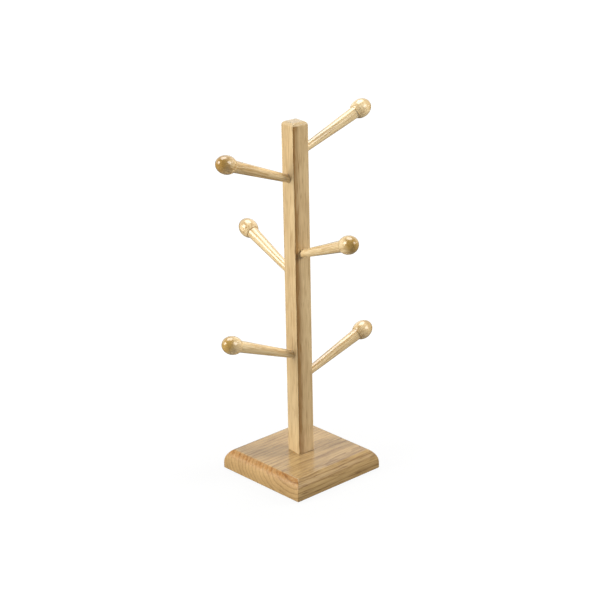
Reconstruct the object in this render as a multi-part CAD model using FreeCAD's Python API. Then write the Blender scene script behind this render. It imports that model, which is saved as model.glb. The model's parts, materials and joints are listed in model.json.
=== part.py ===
import FreeCAD, Part
import math
import os

# Mug rack: a square post on a moulded base board, with six ball-ended pegs glued into sloping sockets.
# Millimetres, +Z up.  The origin is on the floor under the post's axis.  The post's faces look along
# X and Y, and the front of the rack is towards -Y.  One screw from below holds the post, so the board
# can turn about it, and it stands a few degrees off square to the post.

# Base board
base_side = 120.0
base_thickness = 22.0
base_side_flat = 6.4          # straight height of the sides, under the moulding
base_edge_inset = 8.6         # how far the moulding comes in over the top
base_lower_arris = 0.6        # chamfer along the lower edges
base_corner_radius = 0.6      # softening of the four upright corners
base_turn = 5.3               # degrees from square to the post, anticlockwise from above

# Post
post_side = 20.0
post_length = 369.5
post_crown_radius = 4.2       # rounding of the top edges
post_foot_arris = 0.3         # chamfer round the sawn foot
post_corner_radius = 1.0      # rounding of the four long edges

# Pairs of pegs on opposite faces, each at its own drop from the post's top
top_pair_drop = 46.2
middle_pair_drop = 154.7
bottom_pair_drop = 268.5
pair_step = 27.0              # one peg of a pair is this much higher, so that their sockets miss

# Pegs, each turned in one piece
peg_tilt = 21.5               # degrees above level
tenon_diameter = 8.5
tenon_chamfer = 0.6
shank_length = 74.0           # along the peg, from the post's face to the ball's shoulder
shank_end_diameter = 12.8     # the shank grows from the tenon's diameter to this one
shoulder_diameter = 14.8      # the flat at the back of the ball
ball_diameter = 19.7
ball_stretch = 1.24           # a whole ball would be this many times as long as wide

# Sockets in the post
socket_clearance = 0.1        # room for glue all round a tenon
socket_pocket = 1.0           # room for glue beyond a tenon's end
socket_wall = 4.0             # wood left between a socket and the opposite face

# Screw that holds the post on the board
screw_length = 60.0           # over all, head included
screw_head_diameter = 9.6
screw_head_rim = 0.5          # straight rim of the head
screw_shank_diameter = 5.0
screw_core_diameter = 3.6
screw_shank_gap = 2.0         # the plain shank stops this far below the post's foot
screw_tip_length = 5.0
screw_sink = 0.6              # how far the head lies above the board's underside
screw_clearance = 0.15        # room round the head and shank in the board
pilot_clearance = 0.05        # room round the core in the post
pilot_pocket = 2.0            # drilled depth left beyond the tip
recess_length = 5.0           # across each arm of the cross in the head
recess_width = 1.1
recess_depth = 2.0

# Felt pads under the board
pad_diameter = 16.0
pad_thickness = 1.5
pad_inset = 18.0              # from the board's sides to a pad's centre

# Levels and places that follow from the sizes above
base_bottom = pad_thickness
post_foot = base_bottom + base_thickness
post_top = post_foot + post_length
top_pair_level = post_top - top_pair_drop
middle_pair_level = post_top - middle_pair_drop
bottom_pair_level = post_top - bottom_pair_drop
socket_radius = tenon_diameter / 2 + socket_clearance
screw_head_level = base_bottom + screw_sink
screw_tip_level = screw_head_level + screw_length

ORIGIN = FreeCAD.Vector(0, 0, 0)
RIGHT = FreeCAD.Vector(1, 0, 0)
BACK = FreeCAD.Vector(0, 1, 0)
UP = FreeCAD.Vector(0, 0, 1)

# Faces of the post, a quarter turn apart, anticlockwise from above and starting at +X
FACES = ["right", "back", "left", "front"]

# Each peg: the face it stands in, and the level of its socket
PEGS = {
    "top_peg_right": ("right", top_pair_level + pair_step / 2),
    "top_peg_left": ("left", top_pair_level - pair_step / 2),
    "middle_peg_front": ("front", middle_pair_level + pair_step / 2),
    "middle_peg_back": ("back", middle_pair_level - pair_step / 2),
    "bottom_peg_left": ("left", bottom_pair_level + pair_step / 2),
    "bottom_peg_right": ("right", bottom_pair_level - pair_step / 2),
}

# Each pad: the corner of the board that it lies under
PADS = {
    "pad_front_left": (-1, -1),
    "pad_front_right": (1, -1),
    "pad_back_left": (-1, 1),
    "pad_back_right": (1, 1),
}


# Drawing aids

def point(x, z):
    """A point of a profile, all of which are drawn in the XZ plane."""
    return FreeCAD.Vector(x, 0, z)


def line(start, end):
    return Part.LineSegment(start, end).toShape()


def arc_from(start, along, end):
    """The arc that leaves start in the direction along and ends at end."""
    chord = end - start
    leaning = along - chord * (along.dot(chord) / chord.dot(chord))
    rise = chord.Length / 2 * math.tan(chord.getAngle(along) / 2)
    middle = start + chord * 0.5 + leaning.normalize() * rise
    return Part.Arc(start, middle, end).toShape()


def turned(edges, axis):
    """The solid that a closed profile makes when it is turned about an axis through the origin."""
    return Part.Face(Part.Wire(edges)).revolve(ORIGIN, axis, 360)


# Moulded blocks: the base board and the post

def moulded_section(half, height, foot_arris, inset, drop):
    """Upright section of a block, chamfered at the foot and rounded over at the top."""
    shoulder = height - drop
    rounding = arc_from(point(half, shoulder), UP, point(half - inset, height))
    right = [
        line(point(half - foot_arris, 0), point(half, foot_arris)),
        line(point(half, foot_arris), point(half, shoulder)),
        rounding,
    ]
    left = [edge.mirror(ORIGIN, RIGHT) for edge in right]
    top = line(point(half - inset, height), point(inset - half, height))
    foot = line(point(foot_arris - half, 0), point(half - foot_arris, 0))
    edges = Part.sortEdges(right + left + [top, foot])[0]
    return Part.Face(Part.Wire(edges))


def moulded_block(side, height, foot_arris, inset, drop, corner_radius):
    """A square block with the same moulding on all four sides, mitred at its corners."""
    half = side / 2
    section = moulded_section(half, height, foot_arris, inset, drop)
    section.translate(BACK * -side)
    along_y = section.extrude(BACK * side * 2)
    along_x = along_y.copy()
    along_x.rotate(ORIGIN, UP, 90)
    plan = Part.makeBox(side, side, height, FreeCAD.Vector(-half, -half, 0))
    uprights = [edge for edge in plan.Edges if edge.BoundBox.ZLength > height / 2]
    plan = plan.makeFillet(corner_radius, uprights)
    return plan.common(along_y).common(along_x).Solids[0]


def base_board():
    edge_drop = base_thickness - base_side_flat
    board = moulded_block(base_side, base_thickness, base_lower_arris,
                          base_edge_inset, edge_drop, base_corner_radius)
    board.rotate(ORIGIN, UP, base_turn)
    board.translate(UP * base_bottom)
    return board.cut(board_hole()).Solids[0]


def post():
    shaft = moulded_block(post_side, post_length, post_foot_arris,
                          post_crown_radius, post_crown_radius, post_corner_radius)
    shaft.translate(UP * post_foot)
    for face, level in PEGS.values():
        shaft = shaft.cut(placed_in_face(socket(), face, level))
    return shaft.cut(pilot_hole()).Solids[0]


# Pegs and their sockets, drawn along +X from the middle of a socket's mouth

def placed_in_face(shape, face, level):
    """Tilts a peg or a socket up, and sets it into one face of the post."""
    face_angle = FACES.index(face) * 360 / len(FACES)
    tilted = FreeCAD.Placement(RIGHT * (post_side / 2), FreeCAD.Rotation(BACK, -peg_tilt))
    round_post = FreeCAD.Placement(UP * level, FreeCAD.Rotation(UP, face_angle))
    shape.Placement = round_post.multiply(tilted)
    return shape


def socket_depth():
    """Along the tilted axis, as deep as the wall behind the socket allows."""
    tilt = math.radians(peg_tilt)
    return (post_side - socket_wall - socket_radius * math.sin(tilt)) / math.cos(tilt)


def socket():
    """The drill's cut, which starts clear of the face."""
    depth = socket_depth()
    clear = socket_radius * 2
    return Part.makeCylinder(socket_radius, depth + clear, RIGHT * -depth, RIGHT)


def ball_outline():
    """Half the outline of a ball that is longer than wide, from its flat shoulder to its tip."""
    ball_radius = ball_diameter / 2
    shoulder_radius = shoulder_diameter / 2
    back = math.sqrt(ball_radius ** 2 - shoulder_radius ** 2)
    round_outline = Part.Arc(point(-back, shoulder_radius), point(0, ball_radius), point(ball_radius, 0))
    stretch = FreeCAD.Matrix()
    stretch.scale(ball_stretch, 1, 1)
    stretch.move(RIGHT * (shank_length + back * ball_stretch))
    return round_outline.toShape().transformGeometry(stretch)


def peg():
    """Tenon, tapered shank, and a ball with a flat shoulder."""
    tenon_radius = tenon_diameter / 2
    tenon_end = socket_pocket - socket_depth()
    mouth = socket_radius * math.tan(math.radians(peg_tilt))
    outline = ball_outline()
    shoulder, tip = [vertex.Point for vertex in outline.Vertexes]
    corners = [
        tip,
        point(tenon_end, 0),
        point(tenon_end, tenon_radius - tenon_chamfer),
        point(tenon_end + tenon_chamfer, tenon_radius),
        point(mouth, tenon_radius),
        point(shank_length, shank_end_diameter / 2),
        shoulder,
    ]
    straight = [line(start, end) for start, end in zip(corners, corners[1:])]
    return turned(straight + [outline], RIGHT)


# The screw and the holes for it, on the post's axis

def turned_from_corners(corners):
    edges = [line(start, end) for start, end in zip(corners, corners[1:] + corners[:1])]
    return turned(edges, UP)


def base_screw():
    """Countersunk wood screw, pointing up; the cross in its head is cut last."""
    head = screw_head_diameter / 2
    shank = screw_shank_diameter / 2
    core = screw_core_diameter / 2
    cone_start = screw_head_level + screw_head_rim
    shank_end = post_foot - screw_shank_gap
    body = turned_from_corners([
        point(0, screw_head_level),
        point(head, screw_head_level),
        point(head, cone_start),
        point(shank, cone_start + head - shank),
        point(shank, shank_end - shank + core),
        point(core, shank_end),
        point(core, screw_tip_level - screw_tip_length),
        point(0, screw_tip_level),
    ])
    corner = FreeCAD.Vector(-recess_length / 2, -recess_width / 2, screw_head_level)
    slot = Part.makeBox(recess_length, recess_width, recess_depth, corner)
    cross_slot = slot.copy()
    cross_slot.rotate(ORIGIN, UP, 90)
    return body.cut(slot.fuse(cross_slot)).Solids[0]


def board_hole():
    """Countersunk clearance hole through the board."""
    head = screw_head_diameter / 2 + screw_clearance
    shank = screw_shank_diameter / 2 + screw_clearance
    cone_start = screw_head_level + screw_head_rim
    return turned_from_corners([
        point(0, base_bottom - screw_sink),
        point(head, base_bottom - screw_sink),
        point(head, cone_start),
        point(shank, cone_start + head - shank),
        point(shank, post_foot + screw_sink),
        point(0, post_foot + screw_sink),
    ])


def pilot_hole():
    """Pilot hole for the screw's core, up the middle of the post."""
    radius = screw_core_diameter / 2 + pilot_clearance
    depth = screw_tip_level + pilot_pocket - post_foot
    return Part.makeCylinder(radius, depth, UP * post_foot)


# Pads

def pad(side_x, side_y):
    offset = base_side / 2 - pad_inset
    centre = RIGHT * side_x * offset + BACK * side_y * offset
    disc = Part.makeCylinder(pad_diameter / 2, pad_thickness, centre)
    disc.rotate(ORIGIN, UP, base_turn)
    return disc


def rack():
    """Every piece of the rack under its name."""
    pieces = {"base_board": base_board(), "post": post(), "base_screw": base_screw()}
    for name, (face, level) in PEGS.items():
        pieces[name] = placed_in_face(peg(), face, level)
    for name, (side_x, side_y) in PADS.items():
        pieces[name] = pad(side_x, side_y)
    return pieces


os.makedirs("parts", exist_ok=True)
for name, piece in rack().items():
    piece.exportStep("parts/" + name + ".step")
    print(name, "solids", len(piece.Solids), "valid", piece.isValid(), "volume", round(piece.Volume, 1))
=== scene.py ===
# %% [markdown]
# # A wooden mug rack
# The rack is a square post on a moulded board, with six turned pegs that end in balls.
# Its solids come from a CAD model, and this lesson gives them their looks: pieces with soft edges and
# smooth curves, lacquered timber with rings and pores, and a bright studio to show it in.
# The CAD model is loaded first and stays fixed, so every new piece goes exactly where its solid is.

# %% Load the frame
import json
import math

import bmesh
import bpy
from mathutils import Matrix, Vector


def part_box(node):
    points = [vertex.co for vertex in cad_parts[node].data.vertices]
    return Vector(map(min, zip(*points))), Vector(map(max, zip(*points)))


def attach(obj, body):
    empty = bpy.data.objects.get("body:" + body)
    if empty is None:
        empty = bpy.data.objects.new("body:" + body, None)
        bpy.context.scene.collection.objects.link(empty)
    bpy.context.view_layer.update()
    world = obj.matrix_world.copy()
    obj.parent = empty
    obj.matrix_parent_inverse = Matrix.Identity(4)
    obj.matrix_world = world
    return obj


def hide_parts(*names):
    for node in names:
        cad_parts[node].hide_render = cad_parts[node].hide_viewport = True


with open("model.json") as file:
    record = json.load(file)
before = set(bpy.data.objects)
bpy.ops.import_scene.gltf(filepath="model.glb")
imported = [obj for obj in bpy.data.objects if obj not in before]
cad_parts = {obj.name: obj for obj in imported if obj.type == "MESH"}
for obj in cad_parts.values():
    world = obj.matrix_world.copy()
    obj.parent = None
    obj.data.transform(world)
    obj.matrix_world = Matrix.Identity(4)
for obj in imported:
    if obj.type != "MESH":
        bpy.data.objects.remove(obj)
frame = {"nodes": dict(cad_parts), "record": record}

mm = 0.001
scene = bpy.context.scene
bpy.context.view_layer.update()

# %% [markdown]
# ## Measure the rack
# Most sizes can be read from the frame, so they are measured and not typed again.
# The board stands a few degrees off square to the post. The mount under its front left pad lies on the
# board's diagonal, so the direction of that mount gives the turn, and the turn gives the board's true side.

# %% Measure the rack
base_corner_radius = 0.6 * mm
front_left_diagonal = math.radians(-135)
mounts = {mount["name"]: mount for mount in frame["record"]["mounts"]}
post_low, post_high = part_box("post")
post_side = post_high.x - post_low.x
post_foot = post_low.z
post_top = post_high.z
base_low, base_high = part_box("base_board")
base_bottom = base_low.z
base_top = base_high.z
pad_place = Vector(mounts["table_rest"]["pos_m"])
base_turn = math.atan2(pad_place.y, pad_place.x) - front_left_diagonal
turned_reach = math.cos(base_turn) + math.sin(base_turn)
base_half = (base_high.x - base_corner_radius) / turned_reach + base_corner_radius
print("post", round(post_side / mm, 2), "mm square, top at", round(post_top / mm, 2))
print("board", round(2 * base_half / mm, 2), "mm square")
print("board turned by", round(math.degrees(base_turn), 2), "degrees")

# %% [markdown]
# ## Camera
# A long lens from a little above keeps the post's sides nearly parallel, as in a catalogue picture.
# The camera circles the post by an azimuth and an elevation and then rolls by about a degree.
# Its three axes are worked out here and become the columns of its matrix.

# %% Camera
camera_azimuth = math.radians(-36.9)
camera_elevation = math.radians(21.04)
camera_roll = math.radians(-1.14)
camera_distance = 2085.2 * mm
camera_side_step = 1.97 * mm
camera_aim_height = 197.1 * mm
camera_lens = 118.56

level = math.cos(camera_elevation)
to_camera = Vector((
    math.sin(camera_azimuth) * level,
    -math.cos(camera_azimuth) * level,
    math.sin(camera_elevation),
))
to_right = Vector((math.cos(camera_azimuth), math.sin(camera_azimuth), 0))
to_top = to_camera.cross(to_right)


def linked(name, data):
    """A new object in the scene."""
    thing = bpy.data.objects.new(name, data)
    scene.collection.objects.link(thing)
    return thing


def make_camera():
    data = bpy.data.cameras.new("studio_camera")
    data.lens = camera_lens
    camera = linked("studio_camera", data)
    right = to_right * math.cos(camera_roll) + to_top * math.sin(camera_roll)
    top = to_top * math.cos(camera_roll) - to_right * math.sin(camera_roll)
    aim = Vector((0, 0, camera_aim_height)) + to_right * camera_side_step
    turn = Matrix((right, top, to_camera)).transposed()
    camera.matrix_world = Matrix.Translation(aim + to_camera * camera_distance) @ turn.to_4x4()
    scene.camera = camera


make_camera()
print("camera", [round(value, 3) for value in scene.camera.matrix_world.translation], "lens", camera_lens)

# %% [markdown]
# ## Nodes by script
# Materials, the studio and the turned pieces are all made with nodes, so one small helper pays off.
# It adds a node, sets its options, and gives each input either a plain value or a wire from another node.

# %% Node helpers
def place(tree, kind, inputs=None, **options):
    """Adds a node; an input is named or numbered, and gets a value or a wire."""
    node = tree.nodes.new(kind)
    for option, value in options.items():
        setattr(node, option, value)
    for name, value in (inputs or {}).items():
        if isinstance(value, bpy.types.NodeSocket):
            tree.links.new(value, node.inputs[name])
        else:
            node.inputs[name].default_value = value
    return node


def calc(tree, operation, *values):
    """One step of arithmetic, on wires or numbers."""
    return place(tree, "ShaderNodeMath", dict(enumerate(values)), operation=operation).outputs[0]


def vector_calc(tree, operation, *values):
    """One step of vector arithmetic; a dot product and a length are numbers."""
    node = place(tree, "ShaderNodeVectorMath", dict(enumerate(values)), operation=operation)
    return node.outputs["Value" if operation in ("DOT_PRODUCT", "LENGTH") else "Vector"]


def spread(tree, value, low, high):
    """Spreads the stretch from low to high smoothly over 0 to 1."""
    inputs = {"Value": value, "From Min": low, "From Max": high}
    return place(tree, "ShaderNodeMapRange", inputs, interpolation_type="SMOOTHSTEP").outputs["Result"]


def mixed(tree, share, first, second, how="MIX"):
    """Mixes two colours by a share from 0 to 1."""
    node = place(tree, "ShaderNodeMix", {0: share, 6: first, 7: second}, data_type="RGBA", blend_type=how)
    return node.outputs[2]


def noise(tree, position, scale, detail):
    """Noise from 0 to 1; the scale is in mottles for each metre."""
    inputs = {"Vector": position, "Scale": scale, "Detail": detail}
    return place(tree, "ShaderNodeTexNoise", inputs).outputs["Fac"]


def add_sockets(tree, direction, sockets):
    """Names the inputs or outputs of a node group: a dictionary of names and socket types."""
    for name, kind in sockets.items():
        tree.interface.new_socket(name, in_out=direction, socket_type="NodeSocket" + kind)


def new_material(name):
    """A material without nodes, and its node tree."""
    material = bpy.data.materials.new(name)
    material.use_nodes = True
    material.node_tree.nodes.clear()
    return material, material.node_tree


def surface(tree, inputs):
    """The shader that a material shows."""
    shader = place(tree, "ShaderNodeBsdfPrincipled", inputs)
    place(tree, "ShaderNodeOutputMaterial", {"Surface": shader.outputs[0]})


print("node helpers are ready")

# %% [markdown]
# ## Studio
# The rack stands on a wide pale floor under an even sky, and softboxes on the left, overhead and on the
# right give it form. These lamps give light alone: where flat lacquer mirrors a lamp, it turns white.
# What the lacquer mirrors is a second sky. It has a bright backdrop behind the rack, a dim room on the
# camera's side and three soft round windows. The backdrop lays a pale sheen on the board's top, and the
# windows are the spots of light on the balls. Of the floor the lacquer mirrors only a share.
# To camera rays the floor and the sky glow white, with only a hint of a shadow close to the board.

# %% Studio
studio_glow = 1.1
floor_half = 8.0
paper_tones = ((0.34, 0.34, 0.33, 1), (0.38, 0.38, 0.37, 1))
paper_mottles = 900.0
paper_roughness = 0.9
near_glow_share = 0.84
shadow_reach = (0.10, 0.34)
sky_strength = 0.45
sky_colour = (1.0, 0.99, 0.97, 1)
lamp_colour = sky_colour[:3]
mirrored_floor_share = 0.3
mirrored_room = 0.05
mirrored_backdrop = 0.85
backdrop_edges = (-0.45, 0.7)
window_rim = 1.3
window_core = 0.7
# Windows of the mirrored sky: direction, half angle in degrees and brightness
WINDOWS = (
    ((-0.819, 0.331, 0.469), 15.0, 4.6),
    ((0.117, 0.278, 0.952), 21.0, 4.0),
    ((0.413, -0.753, 0.51), 15.0, 3.2),
)
# Softboxes: name, direction, distance, width and height in metres, and power in watts
SOFTBOXES = (
    ("left_softbox", (-0.92, 0.24, 0.31), 1.25, (0.32, 0.80), 14.5),
    ("top_softbox", (0.20, 0.25, 0.947), 1.25, (0.90, 0.38), 4.2),
    ("right_softbox", (0.78, -0.45, 0.44), 1.3, (0.38, 0.75), 15.2),
)


def white_glow(tree, strength):
    return place(tree, "ShaderNodeEmission", {"Color": (1, 1, 1, 1), "Strength": strength}).outputs[0]


def seen_by(tree, rays, share, shader, other):
    """Mixes another shader into what one kind of ray sees of the first one."""
    amount = calc(tree, "MULTIPLY", place(tree, "ShaderNodeLightPath").outputs[rays], share)
    return place(tree, "ShaderNodeMixShader", {0: amount, 1: shader, 2: other}).outputs[0]


def floor_material():
    material, tree = new_material("floor_paper")
    position = place(tree, "ShaderNodeTexCoord").outputs["Object"]
    paper = mixed(tree, noise(tree, position, paper_mottles, 2.0), *paper_tones)
    shader = place(tree, "ShaderNodeBsdfPrincipled", {"Base Color": paper, "Roughness": paper_roughness})
    far_share = spread(tree, vector_calc(tree, "LENGTH", position), *shadow_reach)
    share = calc(tree, "MULTIPLY_ADD", far_share, 1 - near_glow_share, near_glow_share)
    lit = seen_by(tree, "Is Glossy Ray", 1 - mirrored_floor_share, shader.outputs[0], white_glow(tree, 0.0))
    shown = seen_by(tree, "Is Camera Ray", share, lit, white_glow(tree, studio_glow))
    place(tree, "ShaderNodeOutputMaterial", {"Surface": shown})
    return material


def make_floor():
    mesh = bpy.data.meshes.new("studio_floor")
    corners = [(x * floor_half, y * floor_half, 0) for x, y in ((-1, -1), (1, -1), (1, 1), (-1, 1))]
    mesh.from_pydata(corners, [], [(0, 1, 2, 3)])
    mesh.materials.append(floor_material())
    floor = linked("studio_floor", mesh)


def soft_window(tree, direction, towards, reach):
    """A round patch of the sky with a soft edge; reach is its half angle in degrees."""
    near = vector_calc(tree, "DOT_PRODUCT", direction, Vector(towards).normalized())
    rim = math.cos(math.radians(reach * window_rim))
    core = math.cos(math.radians(reach * window_core))
    return spread(tree, near, rim, core)


def make_sky():
    """One sky that lights the rack, and another that its lacquer mirrors."""
    world = bpy.data.worlds.new("studio_sky")
    world.use_nodes = True
    scene.world = world
    tree = world.node_tree
    tree.nodes.clear()
    direction = place(tree, "ShaderNodeTexCoord").outputs["Generated"]
    share = spread(tree, vector_calc(tree, "DOT_PRODUCT", direction, -to_camera), *backdrop_edges)
    strength = calc(tree, "MULTIPLY_ADD", share, mirrored_backdrop - mirrored_room, mirrored_room)
    for towards, reach, glow in WINDOWS:
        window = soft_window(tree, direction, towards, reach)
        strength = calc(tree, "MULTIPLY_ADD", window, glow, strength)
    mirrored = place(tree, "ShaderNodeBackground", {"Color": sky_colour, "Strength": strength}).outputs[0]
    sky = place(tree, "ShaderNodeBackground", {"Color": sky_colour, "Strength": sky_strength}).outputs[0]
    lit = seen_by(tree, "Is Glossy Ray", 1.0, sky, mirrored)
    shown = seen_by(tree, "Is Camera Ray", 1.0, lit, white_glow(tree, studio_glow))
    place(tree, "ShaderNodeOutputWorld", {"Surface": shown})


def make_softbox(name, direction, distance, size, power):
    """A rectangular lamp that shines at the middle of the rack and isn't mirrored itself."""
    data = bpy.data.lights.new(name, "AREA")
    data.shape = "RECTANGLE"
    data.size, data.size_y = size
    data.energy = power
    data.color = lamp_colour
    lamp = linked(name, data)
    away = Vector(direction).normalized()
    lamp.rotation_euler = away.to_track_quat("Z", "Y").to_euler()
    lamp.location = Vector((0, 0, camera_aim_height)) + away * distance
    lamp.visible_camera = False
    lamp.visible_glossy = False


make_floor()
make_sky()
for softbox in SOFTBOXES:
    make_softbox(*softbox)
scene.view_settings.view_transform = "Standard"

# %% [markdown]
# ## The figure of timber
# A plank shows the tree that it was cut from: yearly rings, dark at their late edge, fine streaks along
# the fibre, and short dark pores. All of it is one solid pattern that runs through the wood, so a cut
# along the fibre shows stripes and a cut across it shows arcs, and the sides meet correctly at an edge.
# A node group holds that pattern. It takes a position with X along the fibre and the tree's heart at
# Y and Z zero. The group also asks for the fibre's direction and compares it with the surface's normal:
# an end has calmer streaks and takes up the finish in its own way, and a surface that cuts the fibres at
# a slant shows their flecks. A tone makes one stick darker or paler than the next.

# %% Timber node group
RING_STOPS = ((0.0, 0.0), (0.66, 0.12), (0.95, 1.0), (1.0, 0.0))
# Mottles for each millimetre along and across the fibre, and their detail
MOTTLES = {
    "wander": (0.012, 0.05, 2.0),
    "wobble": (0.05, 0.35, 2.0),
    "tone": (0.008, 0.05, 1.0),
    "broad streaks": (0.026, 0.28, 2.0),
    "narrow streaks": (0.045, 0.75, 2.0),
    "pores": (0.05, 0.62, 1.0),
}
mottle_roughness = 0.55
wobble_reach = 1.6
faintest_year = 0.5
broad_share = 0.55
tone_share = 0.15
end_calm = 0.65
least_fleck = 0.25
streak_height = 0.35
wood_roughness = 0.26
pore_roughness = 0.16
end_edges = (0.05, 0.65)
slant_rise = (0.4, 0.58)
slant_fall = (0.96, 0.72)
tone_edges = (0.3, 0.7)
streak_edges = (0.38, 0.64)
pore_edges = (0.56, 0.67)


def mottled(tree, grain, name):
    """Noise in mottles that are longer along the fibre."""
    along, across, detail = MOTTLES[name]
    position = vector_calc(tree, "MULTIPLY", grain, (along, across, across))
    inputs = {"Vector": position, "Scale": 1.0, "Detail": detail, "Roughness": mottle_roughness}
    return place(tree, "ShaderNodeTexNoise", inputs).outputs["Fac"]


def ring_profile(tree, share):
    """From early wood to late wood and suddenly back, over one ring."""
    ramp = place(tree, "ShaderNodeValToRGB", {"Fac": share})
    stops = ramp.color_ramp.elements
    for number, (place_in_ring, darkness) in enumerate(RING_STOPS):
        stop = stops[number] if number < 1 else stops.new(place_in_ring)
        stop.position = place_in_ring
        stop.color = (darkness, darkness, darkness, 1)
    stops.remove(stops[len(stops) - 1])
    return ramp.outputs["Color"]


def cut_across(tree, given):
    """How far the surface cuts across the fibre: 0 along it and 1 at an end."""
    normal = place(tree, "ShaderNodeTexCoord").outputs["Normal"]
    facing = vector_calc(tree, "DOT_PRODUCT", normal, given["Fibre Direction"])
    back = calc(tree, "MULTIPLY", calc(tree, "MULTIPLY", facing, -1.0), given["Back Share"])
    return calc(tree, "MAXIMUM", facing, back)


def late_wood(tree, given, grain, end_share):
    """The dark part of every ring: rings are steps of an uneven distance from the heart."""
    away = vector_calc(tree, "LENGTH", vector_calc(tree, "MULTIPLY", grain, (0, 1, 1)))
    wander = calc(tree, "SUBTRACT", mottled(tree, grain, "wander"), 0.5)
    wobble = calc(tree, "SUBTRACT", mottled(tree, grain, "wobble"), 0.5)
    uneven = calc(tree, "MULTIPLY_ADD", wander, given["Wander"], away)
    uneven = calc(tree, "MULTIPLY_ADD", wobble, wobble_reach, uneven)
    count = calc(tree, "DIVIDE", uneven, given["Ring Width"])
    year = place(tree, "ShaderNodeTexWhiteNoise", {"W": calc(tree, "FLOOR", count)}, noise_dimensions="1D")
    weight = calc(tree, "MULTIPLY_ADD", year.outputs["Value"], 1 - faintest_year, faintest_year)
    late = calc(tree, "MULTIPLY", ring_profile(tree, calc(tree, "FRACT", count)), weight)
    kept = calc(tree, "MULTIPLY_ADD", end_share, calc(tree, "SUBTRACT", given["End Rings"], 1.0), 1.0)
    return calc(tree, "MULTIPLY", calc(tree, "MULTIPLY", late, given["Ring Strength"]), kept)


def streaks_and_pores(tree, given, grain):
    """Streaks in two sizes, and pores, all along the fibre."""
    inputs = {"X": 1.0, "Y": given["Streak Scale"], "Z": given["Streak Scale"]}
    thinner = place(tree, "ShaderNodeCombineXYZ", inputs).outputs[0]
    finer = vector_calc(tree, "MULTIPLY", grain, thinner)
    broad = spread(tree, mottled(tree, finer, "broad streaks"), *streak_edges)
    narrow = spread(tree, mottled(tree, finer, "narrow streaks"), *streak_edges)
    streaks = calc(tree, "MULTIPLY_ADD", calc(tree, "SUBTRACT", broad, narrow), broad_share, narrow)
    pores = spread(tree, mottled(tree, finer, "pores"), *pore_edges)
    return streaks, pores


def timber_colour(tree, given, darkness, end_share, flecks):
    """From pale to dark, then stained at the ends and in the flecks."""
    colour = mixed(tree, darkness, given["Pale"], given["Dark"])
    soaked = mixed(tree, 1.0, colour, given["End Grain"], "MULTIPLY")
    colour = mixed(tree, end_share, colour, soaked)
    stained = mixed(tree, 1.0, colour, given["Cut Grain"], "MULTIPLY")
    return mixed(tree, flecks, colour, stained)


def make_timber_group():
    tree = bpy.data.node_groups.new("timber_figure", "ShaderNodeTree")
    add_sockets(tree, "INPUT", {
        "Grain": "Vector", "Fibre Direction": "Vector", "Ring Width": "Float", "Ring Strength": "Float",
        "Wander": "Float", "Streak Strength": "Float", "Pore Strength": "Float",
        "Pale": "Color", "Dark": "Color", "End Grain": "Color", "Cut Grain": "Color", "Back Share": "Float",
        "End Rings": "Float", "Streak Scale": "Float", "Tone": "Float",
    })
    add_sockets(tree, "OUTPUT", {"Color": "Color", "Roughness": "Float", "Height": "Float"})
    given = place(tree, "NodeGroupInput").outputs
    grain = vector_calc(tree, "MULTIPLY", given["Grain"], (1 / mm, 1 / mm, 1 / mm))
    across = cut_across(tree, given)
    end_share = spread(tree, across, *end_edges)
    streaks, pores = streaks_and_pores(tree, given, grain)

    # Darkness: rings, streaks, a broad change of tone, the stick's own tone and pores
    calm = calc(tree, "MULTIPLY_ADD", end_share, -end_calm, 1.0)
    streak_share = calc(tree, "MULTIPLY", calc(tree, "MULTIPLY", streaks, given["Streak Strength"]), calm)
    pore_share = calc(tree, "MULTIPLY", calc(tree, "MULTIPLY", pores, given["Pore Strength"]), calm)
    tone = spread(tree, mottled(tree, grain, "tone"), *tone_edges)
    darkness = calc(tree, "ADD", late_wood(tree, given, grain, end_share), streak_share)
    darkness = calc(tree, "ADD", calc(tree, "MULTIPLY_ADD", tone, tone_share, darkness), given["Tone"])
    darkness = calc(tree, "MINIMUM", calc(tree, "ADD", darkness, pore_share), 1.0)

    # Flecks where the fibres are cut at a slant
    slant = calc(tree, "MULTIPLY", spread(tree, across, *slant_rise), spread(tree, across, *slant_fall))
    fleck = calc(tree, "MULTIPLY_ADD", streaks, 1 - least_fleck, least_fleck)
    flecks = calc(tree, "MULTIPLY", slant, fleck)
    place(tree, "NodeGroupOutput", {
        "Color": timber_colour(tree, given, darkness, end_share, flecks),
        "Roughness": calc(tree, "MULTIPLY_ADD", pores, pore_roughness, wood_roughness),
        "Height": calc(tree, "SUBTRACT", calc(tree, "MULTIPLY", streaks, streak_height), pores),
    })
    return tree


timber_group = make_timber_group()
timber_sockets = timber_group.interface.items_tree
print("timber group inputs:", [item.name for item in timber_sockets if item.in_out == "INPUT"])

# %% [markdown]
# ## Lacquered woods
# The board, the post and the pegs are the same kind of timber from different planks, so the three
# materials share the group and give it their own colours and sizes.
# The board and the post read Object coordinates, turned by a Mapping node so that X runs along the fibre.
# The pegs point six ways, so each carries its own grain position as an attribute on its mesh.
# The wood itself hardly shines, and a clear coat over it does the mirroring. A coat has a roughness and a
# refractive index: the higher the index, the stronger the mirror. The pegs have the densest coat.

# %% Wood materials
wood_shine = 0.15
lacquer_relief = {"Strength": 0.2, "Distance": 0.04 * mm}
plain_coat = {"Coat Roughness": 0.2, "Coat IOR": 1.6}
dense_coat = {"Coat Roughness": 0.15, "Coat IOR": 2.0}


def lacquered(tree, coat, inputs):
    """Timber under a clear coat; the inputs are those of the timber group."""
    timber = place(tree, "ShaderNodeGroup", inputs, node_tree=timber_group).outputs
    bump = place(tree, "ShaderNodeBump", {"Height": timber["Height"], **lacquer_relief})
    surface(tree, {
        "Base Color": timber["Color"], "Roughness": timber["Roughness"],
        "Normal": bump.outputs["Normal"], "Specular IOR Level": wood_shine, "Coat Weight": 1.0, **coat,
    })


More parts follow.
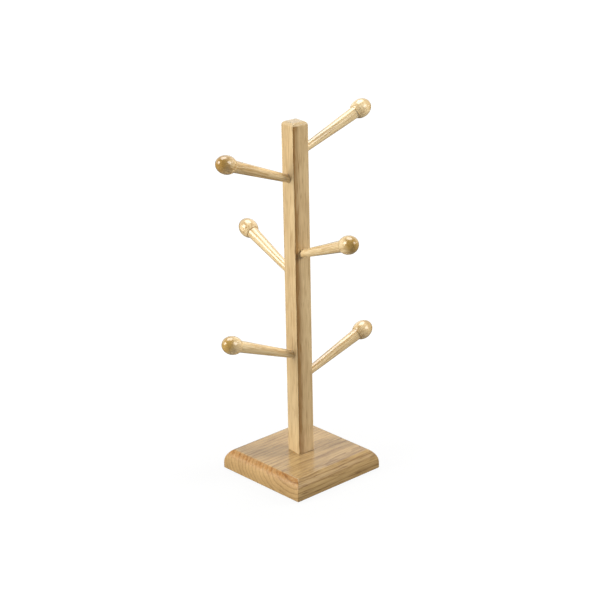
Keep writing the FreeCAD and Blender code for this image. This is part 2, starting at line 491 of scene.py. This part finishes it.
def mapped_grain(tree, rotation, heart):
    """Object coordinates, turned so that X runs along the fibre and moved to the tree's heart."""
    position = place(tree, "ShaderNodeTexCoord").outputs["Object"]
    inputs = {"Vector": position, "Rotation": rotation, "Location": heart}
    return place(tree, "ShaderNodeMapping", inputs).outputs["Vector"]


def carried(tree, attribute, kind="Vector"):
    """A vector or a number that the mesh carries with it."""
    return place(tree, "ShaderNodeAttribute", attribute_name=attribute).outputs[kind]


def base_wood():
    material, tree = new_material("base_wood")
    lacquered(tree, plain_coat, {
        "Grain": mapped_grain(tree, (0, 0, -base_turn), (0, 44 * mm, -53 * mm)),
        "Fibre Direction": (math.cos(base_turn), math.sin(base_turn), 0),
        "Ring Width": 5.0, "Ring Strength": 0.55, "Wander": 6.0,
        "Streak Strength": 0.48, "Streak Scale": 1.0, "Pore Strength": 0.36,
        "Pale": (0.55, 0.37, 0.16, 1), "Dark": (0.22, 0.12, 0.04, 1),
        "End Grain": (1.09, 1.05, 1.05, 1), "Cut Grain": (0.80, 0.54, 0.27, 1),
        "Back Share": 1.0, "End Rings": 1.0,
    })
    return material


def post_wood():
    material, tree = new_material("post_wood")
    lacquered(tree, plain_coat, {
        "Grain": mapped_grain(tree, (0, math.radians(90), 0), (0, 52 * mm, 50 * mm)),
        "Fibre Direction": (0, 0, 1),
        "Ring Width": 18.3, "Ring Strength": 0.95, "Wander": 2.0,
        "Streak Strength": 0.30, "Streak Scale": 1.5, "Pore Strength": 0.34,
        "Pale": (0.78, 0.585, 0.32, 1), "Dark": (0.31, 0.165, 0.05, 1),
        "End Grain": (0.92, 0.94, 0.97, 1), "Cut Grain": (1.0, 1.0, 1.0, 1),
        "Back Share": 1.0, "End Rings": 0.15,
    })
    return material


def peg_wood():
    material, tree = new_material("peg_wood")
    lacquered(tree, dense_coat, {
        "Grain": carried(tree, "grain"),
        "Fibre Direction": carried(tree, "fibre"),
        "Tone": carried(tree, "tone", "Fac"),
        "Ring Width": 3.0, "Ring Strength": 0.30, "Wander": 3.0,
        "Streak Strength": 0.44, "Streak Scale": 1.8, "Pore Strength": 0.34,
        "Pale": (0.94, 0.75, 0.44, 1), "Dark": (0.42, 0.22, 0.045, 1),
        "End Grain": (0.56, 0.45, 0.22, 1), "Cut Grain": (1.0, 1.0, 1.0, 1),
        "Back Share": 0.3, "End Rings": 0.5,
    })
    return material


base_wood_material = base_wood()
post_wood_material = post_wood()
peg_wood_material = peg_wood()
print("woods", base_wood_material.name, post_wood_material.name, peg_wood_material.name)

# %% [markdown]
# ## A lathe in Geometry Nodes
# Six pegs, a screw and four felt pads are all round, so one node tree turns them from half-profiles.
# A profile is a chain of points in the XZ plane: X along the axis and Z the radius.
# The tree makes the chain a curve, keeps each point's radius, lays the curve on the axis and sweeps a
# circle along it. Where a screw asks for one, a ridge is raised along a helix, and felt gets a little fuzz.
# Before the piece is put in its place the tree stores where each point lay along the fibre, because a
# pattern that follows a peg has to know the peg's own position and direction. A tone goes with them.

# %% The lathe
LATHE_INPUTS = {
    "Geometry": "Geometry", "Sides": "Int", "Crease Angle": "Float",
    "Thread Pitch": "Float", "Thread Depth": "Float", "Thread Start": "Float", "Thread End": "Float",
    "Fuzz": "Float", "Grain Offset": "Vector", "Tone": "Float", "Rotation": "Rotation", "Place": "Vector",
    "Material": "Material",
}
ridge_slope = 3.2
thread_run = 2 * mm
fuzz_mottles = 900.0
merge_distance = 0.002 * mm


def thread_height(tree, given, position):
    """How far a point is lifted by a helical ridge between the thread's start and end."""
    parts = place(tree, "ShaderNodeSeparateXYZ", {"Vector": position}).outputs
    turns = calc(tree, "DIVIDE", calc(tree, "ARCTAN2", parts["Z"], parts["Y"]), 2 * math.pi)
    along = calc(tree, "DIVIDE", parts["X"], given["Thread Pitch"])
    phase = calc(tree, "FRACT", calc(tree, "SUBTRACT", along, turns))
    from_crest = calc(tree, "ABSOLUTE", calc(tree, "SUBTRACT", phase, 0.5))
    ridge = calc(tree, "MAXIMUM", calc(tree, "MULTIPLY_ADD", from_crest, -ridge_slope, 1.0), 0.0)
    run_in = spread(tree, calc(tree, "SUBTRACT", parts["X"], given["Thread Start"]), 0.0, thread_run)
    run_out = spread(tree, calc(tree, "SUBTRACT", given["Thread End"], parts["X"]), 0.0, thread_run)
    window = calc(tree, "MULTIPLY", run_in, run_out)
    return calc(tree, "MULTIPLY", calc(tree, "MULTIPLY", ridge, window), given["Thread Depth"])


def shaped(tree, kind, inputs=None, **options):
    """The first output of a new node."""
    return place(tree, kind, inputs, **options).outputs[0]


def stored(tree, shape, name, value, kind="FLOAT_VECTOR"):
    """Geometry whose points carry a value under a name."""
    inputs = {"Geometry": shape, "Name": name, "Value": value}
    return shaped(tree, "GeometryNodeStoreNamedAttribute", inputs, data_type=kind, domain="POINT")


def swept_profile(tree, given, position):
    """The profile becomes an axis whose points remember their radius, and a circle is swept along it."""
    curve = shaped(tree, "GeometryNodeMeshToCurve", {"Mesh": given["Geometry"]})
    radius = place(tree, "ShaderNodeSeparateXYZ", {"Vector": position}).outputs["Z"]
    curve = shaped(tree, "GeometryNodeSetCurveRadius", {"Curve": curve, "Radius": radius})
    on_axis = vector_calc(tree, "MULTIPLY", position, (1, 0, 0))
    curve = shaped(tree, "GeometryNodeSetPosition", {"Geometry": curve, "Position": on_axis})
    circle = shaped(tree, "GeometryNodeCurvePrimitiveCircle", {"Resolution": given["Sides"], "Radius": 1.0})
    kept_radius = shaped(tree, "GeometryNodeInputRadius")
    inputs = {"Curve": curve, "Profile Curve": circle, "Scale": kept_radius}
    swept = shaped(tree, "GeometryNodeCurveToMesh", inputs)
    return shaped(tree, "GeometryNodeMergeByDistance", {"Geometry": swept, "Distance": merge_distance})


def raised(tree, given, shape, position, where):
    """Raises the thread away from the axis, and then the fuzz."""
    away = vector_calc(tree, "NORMALIZE", vector_calc(tree, "MULTIPLY", position, (0, 1, 1)))
    lift = vector_calc(tree, "MULTIPLY", away, thread_height(tree, given, position))
    shape = shaped(tree, "GeometryNodeSetPosition", {"Geometry": shape, "Offset": lift})
    speckle = calc(tree, "SUBTRACT", noise(tree, where, fuzz_mottles, 2.0), 0.5)
    rise = calc(tree, "MULTIPLY", speckle, given["Fuzz"])
    offset = vector_calc(tree, "MULTIPLY", shaped(tree, "GeometryNodeInputNormal"), rise)
    return shaped(tree, "GeometryNodeSetPosition", {"Geometry": shape, "Offset": offset})


def shaded(tree, given, shape):
    """Smooth faces, with a sharp line where two of them meet at more than the crease angle."""
    angle = place(tree, "GeometryNodeInputMeshEdgeAngle").outputs["Unsigned Angle"]
    inputs = {"A": angle, "B": given["Crease Angle"]}
    soft = shaped(tree, "FunctionNodeCompare", inputs, data_type="FLOAT", operation="LESS_THAN")
    shape = shaped(tree, "GeometryNodeSetShadeSmooth", {"Geometry": shape, "Shade Smooth": True})
    inputs = {"Geometry": shape, "Shade Smooth": soft}
    return shaped(tree, "GeometryNodeSetShadeSmooth", inputs, domain="EDGE")


def with_grain(tree, given, shape, where):
    """Points that carry their place in the tree, the fibre's direction and the stick's tone."""
    inputs = {"Vector": (1, 0, 0), "Rotation": given["Rotation"]}
    shape = stored(tree, shape, "grain", where)
    shape = stored(tree, shape, "fibre", shaped(tree, "FunctionNodeRotateVector", inputs))
    return stored(tree, shape, "tone", given["Tone"], "FLOAT")


def make_lathe():
    tree = bpy.data.node_groups.new("lathe", "GeometryNodeTree")
    add_sockets(tree, "INPUT", LATHE_INPUTS)
    add_sockets(tree, "OUTPUT", {"Geometry": "Geometry"})
    given = place(tree, "NodeGroupInput").outputs
    position = shaped(tree, "GeometryNodeInputPosition")
    where = vector_calc(tree, "ADD", position, given["Grain Offset"])
    shape = swept_profile(tree, given, position)
    shape = raised(tree, given, shape, position, where)
    shape = shaded(tree, given, shape)
    shape = with_grain(tree, given, shape, where)
    inputs = {"Geometry": shape, "Translation": given["Place"], "Rotation": given["Rotation"]}
    shape = shaped(tree, "GeometryNodeTransform", inputs)
    shape = shaped(tree, "GeometryNodeRealizeInstances", {"Geometry": shape})
    shape = shaped(tree, "GeometryNodeSetMaterial", {"Geometry": shape, "Material": given["Material"]})
    place(tree, "NodeGroupOutput", {"Geometry": shape})
    return tree


lathe = make_lathe()
lathe_sockets = {item.name: item.identifier for item in lathe.interface.items_tree if item.in_out == "INPUT"}
print("lathe inputs:", list(lathe_sockets))

# %% [markdown]
# ## From a node tree to a plain mesh
# The exporter wants plain meshes, so each piece is evaluated once and its result is kept without the
# modifier. Inputs are set by the socket's identifier before that happens.
# A closed mesh with its faces outwards has a positive volume, which is a quick test of the result.

# %% Turn a profile
lathe_sides = 64
lathe_crease = math.radians(38)
upright = Vector((0, 0, 1)).to_track_quat("X", "Y").to_euler()


def evaluated_mesh(holder, name):
    """The plain mesh that an object's modifiers make, with its faces outwards."""
    bpy.context.view_layer.update()
    depsgraph = bpy.context.evaluated_depsgraph_get()
    mesh = bpy.data.meshes.new_from_object(holder.evaluated_get(depsgraph), depsgraph=depsgraph)
    mesh.name = name
    shape = bmesh.new()
    shape.from_mesh(mesh)
    bmesh.ops.recalc_face_normals(shape, faces=shape.faces)
    shape.to_mesh(mesh)
    shape.free()
    return mesh


def turned(name, profile, material, **inputs):
    """A round piece from a profile of (along, radius) points, as an object with a plain mesh."""
    chain = bpy.data.meshes.new(name + "_profile")
    links = [(number, number + 1) for number in range(len(profile) - 1)]
    chain.from_pydata([(along, 0, radius) for along, radius in profile], links, [])
    holder = linked(name + "_profile", chain)
    modifier = holder.modifiers.new("lathe", "NODES")
    modifier.node_group = lathe
    settings = {"Sides": lathe_sides, "Crease Angle": lathe_crease, "Thread Pitch": 1.0, "Material": material}
    settings.update(inputs)
    for socket, value in settings.items():
        modifier[lathe_sockets[socket]] = value
    mesh = evaluated_mesh(holder, name)
    bpy.data.objects.remove(holder)
    return linked(name, mesh)


def describe(piece):
    """Prints a piece's faces and the volume inside its closed mesh."""
    shape = bmesh.new()
    shape.from_mesh(piece.data)
    amount = shape.calc_volume(signed=True)
    shape.free()
    print(piece.name, len(piece.data.polygons), "faces", round(amount * 1e6, 3), "cubic cm")


def arc(centre, radius, start, end, steps):
    """Points on an arc from one angle to another, in radians."""
    angles = [start + (end - start) * step / steps for step in range(steps + 1)]
    return [(centre[0] + radius * math.cos(angle), centre[1] + radius * math.sin(angle)) for angle in angles]


def eased_corner(before, corner, after, steps):
    """Points on a soft curve that rounds off a corner."""
    points = []
    for step in range(steps + 1):
        share = step / steps
        weights = ((1 - share) ** 2, 2 * share * (1 - share), share ** 2)
        axes = zip(before, corner, after)
        points.append(tuple(sum(w * value for w, value in zip(weights, values)) for values in axes))
    return points


print("sides of a round piece:", lathe_sides)

# %% [markdown]
# ## Pegs
# Each peg is turned in one piece: a tenon that is glued into the post, a shank that grows towards the
# outside, and a ball that is a little longer than wide and cut flat at its back. The frame's mounts give
# each peg's axis, and the solid's own points give its length and the size of its ball.
# The edge of the ball's flat shoulder is eased by a small arc, and lacquer has filled the corner behind
# it a little, because sanding and varnish leave no knife edges. Each easing catches a thin highlight.
# No two pegs come from the same place in the tree, and two of the sticks differ in tone.

# %% Peg profile
tenon_radius = 4.25 * mm
tenon_chamfer = 0.6 * mm
socket_radius = 4.35 * mm
shank_length = 74.0 * mm
shank_end_radius = 6.4 * mm
shoulder_radius = 7.4 * mm
shoulder_easing = 0.35 * mm
lacquer_fillet = 0.25 * mm
ball_steps = 36
easing_steps = 4
stick_tones = {"top_peg_left": 0.25, "top_peg_right": -0.17}


def peg_axis(node):
    """The direction of a peg, and the point where its axis meets the post's face."""
    mount = mounts[node + "_hang"]
    direction = Vector(mount["axis"]).normalized()
    on_axis = Vector(mount["pos_m"])
    level_reach = math.hypot(on_axis.x, on_axis.y) - post_side / 2
    level_share = math.hypot(direction.x, direction.y)
    return direction, on_axis - direction * (level_reach / level_share)


def measured_along(node, direction, start):
    """Lowest and highest place of a solid along an axis, and its greatest radius about it."""
    points = [vertex.co - start for vertex in frame["nodes"][node].data.vertices]
    places = [point.dot(direction) for point in points]
    widths = [(point - direction * along).length for point, along in zip(points, places)]
    return min(places), max(places), max(widths)


def ball_outline(tip, ball_radius):
    """Points from the edge of the shoulder to the tip, on an ellipse."""
    back_share = math.sqrt(1 - (shoulder_radius / ball_radius) ** 2)
    half_length = (tip - shank_length) / (1 + back_share)
    first = math.pi - math.asin(shoulder_radius / ball_radius)
    circle = arc((0, 0), 1, first, 0, ball_steps)
    return [(tip - half_length + along * half_length, out * ball_radius) for along, out in circle]


def peg_profile(tenon_end, tip, ball_radius, tilt):
    """Half the outline of a peg, from the end of its tenon to the tip of its ball."""
    mouth = socket_radius * math.tan(tilt)
    shaft = [
        (tenon_end, 0),
        (tenon_end, tenon_radius - tenon_chamfer),
        (tenon_end + tenon_chamfer, tenon_radius),
        (mouth, tenon_radius),
    ]
    ball = ball_outline(tip, ball_radius)
    corner = (shank_length, shank_end_radius)
    fillet = eased_corner((shank_length - lacquer_fillet, shank_end_radius), corner,
                          (shank_length, shank_end_radius + lacquer_fillet), easing_steps)
    edge = eased_corner((shank_length, shoulder_radius - shoulder_easing), ball[0], ball[1], easing_steps)
    return shaft + fillet + edge + ball[2:]


def stick_place(number):
    """Where a peg's stick lay in the tree."""
    return Vector((130 * number, 5 + 3 * (number % 3), 4 - 5 * (number % 2))) * mm


def make_peg(number, node):
    direction, start = peg_axis(node)
    lowest, highest, ball_radius = measured_along(node, direction, start)
    profile = peg_profile(lowest, highest, ball_radius, math.asin(direction.z))
    peg = turned(
        node + "_turned", profile, peg_wood_material,
        Rotation=direction.to_track_quat("X", "Z").to_euler(),
        Place=start,
        Tone=stick_tones.get(node, 0.0),
        **{"Grain Offset": stick_place(number)},
    )
    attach(peg, "root")
    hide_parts(node)
    return peg


print("shank", round(shank_length / mm, 1), "mm long")

# %% [markdown]
# ## Turn the six pegs
# A search for the pegs' nodes in the frame finds all six, and each new peg replaces its solid.

# %% Six pegs
peg_nodes = [node for node in sorted(frame["nodes"]) if "_peg_" in node]
for number, node in enumerate(peg_nodes):
    describe(make_peg(number, node))

# %% [markdown]
# ## Board and post
# Both are square blocks with a moulding. A stack of square rings makes such a block: each ring has its
# own inset and height from the moulding's profile, and its corners are rounded a little, so the mitre
# where two mouldings meet is a soft line. Faces join each ring to the next one, and the first and last
# rings are closed. Holes are cut afterwards with a Boolean modifier, and a Weighted Normal modifier keeps
# the wide flat faces flat beside their rounded edges.

# %% Moulded blocks
corner_steps = 8
block_crease = math.radians(16)


def ring_points(half, corner_radius, height):
    """A square ring with rounded corners, anticlockwise from above."""
    points = []
    for quarter in range(4):
        turn = quarter * math.pi / 2
        middle = half - corner_radius
        for along, aside in arc((middle, middle), corner_radius, 0, math.pi / 2, corner_steps):
            x = along * math.cos(turn) - aside * math.sin(turn)
            y = along * math.sin(turn) + aside * math.cos(turn)
            points.append((x, y, height))
    return points


def moulded_block(name, half, corner_radius, profile):
    """A closed block from a profile of (inset, height) pairs, foot first."""
    shape = bmesh.new()
    rings = []
    for inset, height in profile:
        points = ring_points(half - inset, corner_radius, height)
        rings.append([shape.verts.new(point) for point in points])
    size = len(rings[0])
    for lower, upper in zip(rings, rings[1:]):
        for number in range(size):
            following = (number + 1) % size
            shape.faces.new((lower[number], lower[following], upper[following], upper[number]))
    shape.faces.new(rings[0][::-1])
    shape.faces.new(rings[-1])
    mesh = bpy.data.meshes.new(name)
    shape.to_mesh(mesh)
    shape.free()
    return linked(name, mesh)


def sharpen(mesh, limit):
    """Smooth faces, with a sharp edge wherever two of them meet at more than the limit."""
    shape = bmesh.new()
    shape.from_mesh(mesh)
    for face in shape.faces:
        face.smooth = True
    for edge in shape.edges:
        edge.smooth = edge.calc_face_angle(0) < limit
    shape.to_mesh(mesh)
    shape.free()


def cut_and_finish(block, cutters, material):
    """Cuts holes, weights the normals and gives the block a plain mesh and its material."""
    for cutter in cutters:
        modifier = block.modifiers.new("hole", "BOOLEAN")
        modifier.object = cutter
        modifier.operation = "DIFFERENCE"
        modifier.solver = "EXACT"
    mesh = evaluated_mesh(block, block.name)
    block.modifiers.clear()
    block.data = mesh
    for cutter in cutters:
        bpy.data.objects.remove(cutter)
    sharpen(mesh, block_crease)
    block.modifiers.new("flat faces", "WEIGHTED_NORMAL").keep_sharp = True
    block.data = evaluated_mesh(block, block.name)
    block.modifiers.clear()
    block.data.materials.clear()
    block.data.materials.append(material)
    return block


print("points in a ring:", 4 * (corner_steps + 1))

# %% [markdown]
# ## The base board
# A router has rounded the board's four upper edges with a wide cutter, so the moulding rises straight
# for a few millimetres and then bends over by about two thirds of a right angle. It meets the flat top
# in a line that sanding has softened. Below is a hole with a countersink for the screw.

# %% Base board
base_side_flat = 6.4 * mm
base_edge_inset = 8.6 * mm
base_lower_arris = 0.6 * mm
base_soft_corner = 0.9 * mm
top_line_easing = 0.9 * mm
top_line_steps = 5
moulding_steps = 18
screw_head_radius = 4.8 * mm
screw_shank_radius = 2.5 * mm
screw_clearance = 0.15 * mm
screw_sink = 0.6 * mm
screw_head_rim = 0.5 * mm


def base_profile():
    """Insets and heights of the board's edge, from its underside to its top."""
    shoulder = base_bottom + base_side_flat
    drop = base_top - shoulder
    radius = (drop ** 2 + base_edge_inset ** 2) / (2 * base_edge_inset)
    sweep = math.asin(drop / radius)
    curve = arc((0, shoulder), radius, 0, sweep, moulding_steps)
    moulding = [(radius - along, height) for along, height in curve]
    corner = moulding[-1]
    eased = sweep - top_line_easing / radius
    before = (radius - radius * math.cos(eased), shoulder + radius * math.sin(eased))
    after = (corner[0] + top_line_easing, corner[1])
    foot = [(base_lower_arris, base_bottom), (0, base_bottom + base_lower_arris)]
    return foot + moulding[:-1] + eased_corner(before, corner, after, top_line_steps)


def board_hole():
    """The countersunk hole, along Z from under the board to above it."""
    head = screw_head_radius + screw_clearance
    shank = screw_shank_radius + screw_clearance
    cone_start = base_bottom + screw_sink + screw_head_rim
    profile = [
        (base_bottom - screw_sink, 0), (base_bottom - screw_sink, head), (cone_start, head),
        (cone_start + head - shank, shank), (base_top + screw_sink, shank), (base_top + screw_sink, 0),
    ]
    return turned("board_hole", profile, None, Rotation=upright)


def make_base():
    board = moulded_block("base_board_moulded", base_half, base_soft_corner, base_profile())
    board.data.transform(Matrix.Rotation(base_turn, 4, "Z"))
    cut_and_finish(board, [board_hole()], base_wood_material)
    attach(board, "root")
    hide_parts("base_board")
    return board


describe(make_base())

# %% [markdown]
# ## The post
# The post is a planed stick with softened long edges, and its top edges are rounded over.
# Six blind sockets slope down into its faces, one for each tenon, and a thin pilot hole for the screw
# comes up from its foot. The sockets lie on the pegs' own axes, so the lathe makes their cutters too.

# %% Post
post_crown_radius = 4.2 * mm
post_crown_steps = 10
post_foot_arris = 0.3 * mm
post_corner_radius = 1.0 * mm
socket_pocket = 1.0 * mm
pilot_radius = 1.85 * mm
pilot_pocket = 2.0 * mm


def post_profile():
    """Insets and heights of the post's outline, foot first."""
    middle = (post_crown_radius, post_top - post_crown_radius)
    crown = arc(middle, post_crown_radius, math.pi, math.pi / 2, post_crown_steps)
    return [(post_foot_arris, post_foot), (0, post_foot + post_foot_arris)] + crown


def socket_cutter(node):
    """A rod on a peg's axis, from the bottom of the socket to outside the post."""
    direction, start = peg_axis(node)
    bottom = measured_along(node, direction, start)[0] - socket_pocket
    clear = 2 * socket_radius
    profile = [(bottom, 0), (bottom, socket_radius), (clear, socket_radius), (clear, 0)]
    turn = direction.to_track_quat("X", "Z").to_euler()
    return turned(node + "_socket", profile, None, Rotation=turn, Place=start)


def pilot_cutter():
    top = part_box("base_screw")[1].z + pilot_pocket
    start = post_foot - pilot_pocket
    profile = [(start, 0), (start, pilot_radius), (top, pilot_radius), (top, 0)]
    return turned("pilot_hole", profile, None, Rotation=upright)


def make_post():
    post = moulded_block("post_planed", post_side / 2, post_corner_radius, post_profile())
    cutters = [socket_cutter(node) for node in peg_nodes] + [pilot_cutter()]
    cut_and_finish(post, cutters, post_wood_material)
    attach(post, "root")
    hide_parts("post")
    return post


describe(make_post())

# %% [markdown]
# ## Steel and felt
# The screw is zinc plated, so it has a dull, slightly warm shine with clouds in it.
# Felt is a mat of short fibres: it hardly shines, and a sheen stands for the fibre ends that catch light.

# %% Screw and pad finishes
zinc_tones = ((0.60, 0.58, 0.50, 1), (0.70, 0.69, 0.64, 1))
zinc_mottles = 700.0
zinc_roughness = 0.22
zinc_cloudiness = 0.25
felt_tones = ((0.075, 0.045, 0.025, 1), (0.19, 0.125, 0.075, 1))
felt_mottles = 2600.0
felt_relief = {"Strength": 0.8, "Distance": 0.2 * mm}
felt_roughness = 0.95
felt_sheen = 0.35


def screw_steel():
    material, tree = new_material("screw_steel")
    position = place(tree, "ShaderNodeTexCoord").outputs["Object"]
    cloud = noise(tree, position, zinc_mottles, 3.0)
    roughness = calc(tree, "MULTIPLY_ADD", cloud, zinc_cloudiness, zinc_roughness)
    colour = mixed(tree, cloud, *zinc_tones)
    surface(tree, {"Base Color": colour, "Roughness": roughness, "Metallic": 1.0})
    return material


def pad_felt():
    material, tree = new_material("pad_felt")
    position = place(tree, "ShaderNodeTexCoord").outputs["Object"]
    fibres = noise(tree, position, felt_mottles, 4.0)
    bump = place(tree, "ShaderNodeBump", {"Height": fibres, **felt_relief})
    surface(tree, {
        "Base Color": mixed(tree, fibres, *felt_tones), "Normal": bump.outputs["Normal"],
        "Roughness": felt_roughness, "Sheen Weight": felt_sheen,
    })
    return material


screw_material = screw_steel()
felt_material = pad_felt()
print("finishes", screw_material.name, felt_material.name)

# %% [markdown]
# ## The screw
# It goes up through the board into the post: a countersunk head with a cross, a plain shank, and a thread
# that the lathe winds round the core. The lathe lifts points that are there, so the thread needs many.

# %% Screw
screw_core_radius = 1.8 * mm
screw_shank_gap = 2.0 * mm
screw_tip_length = 5.0 * mm
thread_pitch = 2.4 * mm
thread_depth = 0.65 * mm
points_in_a_pitch = 12
recess_length = 5.0 * mm
recess_width = 1.1 * mm
recess_depth = 2.0 * mm
recess_taper = 0.72


def stations(start, end, radius_start, radius_end, step):
    """Evenly spaced points along a straight stretch of a profile, without its end."""
    count = max(1, round((end - start) / step))
    shares = [number / count for number in range(count)]
    return [(start + (end - start) * s, radius_start + (radius_end - radius_start) * s) for s in shares]


def screw_profile(head_level, tip_level):
    """Half the outline of the screw, from its head up to its tip."""
    cone_start = head_level + screw_head_rim
    cone_end = cone_start + screw_head_radius - screw_shank_radius
    shank_end = post_foot - screw_shank_gap
    core_start = shank_end + screw_shank_radius - screw_core_radius
    tip_start = tip_level - screw_tip_length
    fine = thread_pitch / points_in_a_pitch
    return [
        (head_level, 0), (head_level, screw_head_radius), (cone_start, screw_head_radius),
        (cone_end, screw_shank_radius), (shank_end, screw_shank_radius),
        *stations(core_start, tip_start, screw_core_radius, screw_core_radius, fine),
        *stations(tip_start, tip_level, screw_core_radius, 0, fine),
        (tip_level, 0),
    ]


def cross_arm(name, long_side, short_side, head_level):
    """One arm of the cross in the head, as a block that narrows upwards."""
    shape = bmesh.new()
    bmesh.ops.create_cube(shape, size=1)
    for vertex in shape.verts:
        share = recess_taper if vertex.co.z > 0 else 1.0
        height = head_level + (recess_depth if vertex.co.z > 0 else -recess_depth)
        vertex.co = (vertex.co.x * long_side * share, vertex.co.y * short_side * share, height)
    mesh = bpy.data.meshes.new(name)
    shape.to_mesh(mesh)
    shape.free()
    return linked(name, mesh)


def make_screw():
    low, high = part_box("base_screw")
    profile = screw_profile(low.z, high.z)
    screw = turned(
        "base_screw_threaded", profile, screw_material,
        Rotation=upright,
        **{
            "Thread Pitch": thread_pitch, "Thread Depth": thread_depth,
            "Thread Start": post_foot, "Thread End": high.z,
        },
    )
    arms = [
        cross_arm("cross_arm_x", recess_length, recess_width, low.z),
        cross_arm("cross_arm_y", recess_width, recess_length, low.z),
    ]
    cut_and_finish(screw, arms, screw_material)
    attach(screw, "root")
    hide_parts("base_screw")
    return screw


describe(make_screw())

# %% [markdown]
# ## Four felt pads
# They keep the board off the table. Felt has no sharp edge and no smooth surface, so the pads get bulging
# sides and a little fuzz.

# %% Felt pads
pad_bulge = 0.35 * mm
pad_fuzz = 0.12 * mm
pad_side_steps = 10
pad_ring_shares = (0, 0.25, 0.5, 0.75, 0.9)
pad_flat_share = 0.96
pad_stock_mm = 40


def pad_profile(thickness, radius):
    """A disc with bulging sides, flat where it is stuck on and nearly flat below."""
    rings = [(0, share * radius * pad_flat_share) for share in pad_ring_shares]
    middle = thickness / 2
    inner = radius - pad_bulge
    side = arc((middle, inner), middle, math.pi, 0, pad_side_steps)
    bulge = [(along, inner + (out - inner) * pad_bulge / middle) for along, out in side]
    return rings + bulge + [(thickness, out) for _, out in rings[::-1]]


def make_pad(number, node):
    low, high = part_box(node)
    centre = (low + high) / 2
    pad = turned(
        node + "_felt", pad_profile(high.z - low.z, (high.x - low.x) / 2), felt_material,
        Rotation=upright,
        Place=Vector((centre.x, centre.y, low.z)),
        Fuzz=pad_fuzz,
        **{"Grain Offset": Vector((0, pad_stock_mm * number, 0)) * mm},
    )
    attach(pad, "root")
    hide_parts(node)
    return pad


pad_nodes = [node for node in sorted(frame["nodes"]) if node.startswith("pad_")]
for number, node in enumerate(pad_nodes):
    describe(make_pad(number, node))
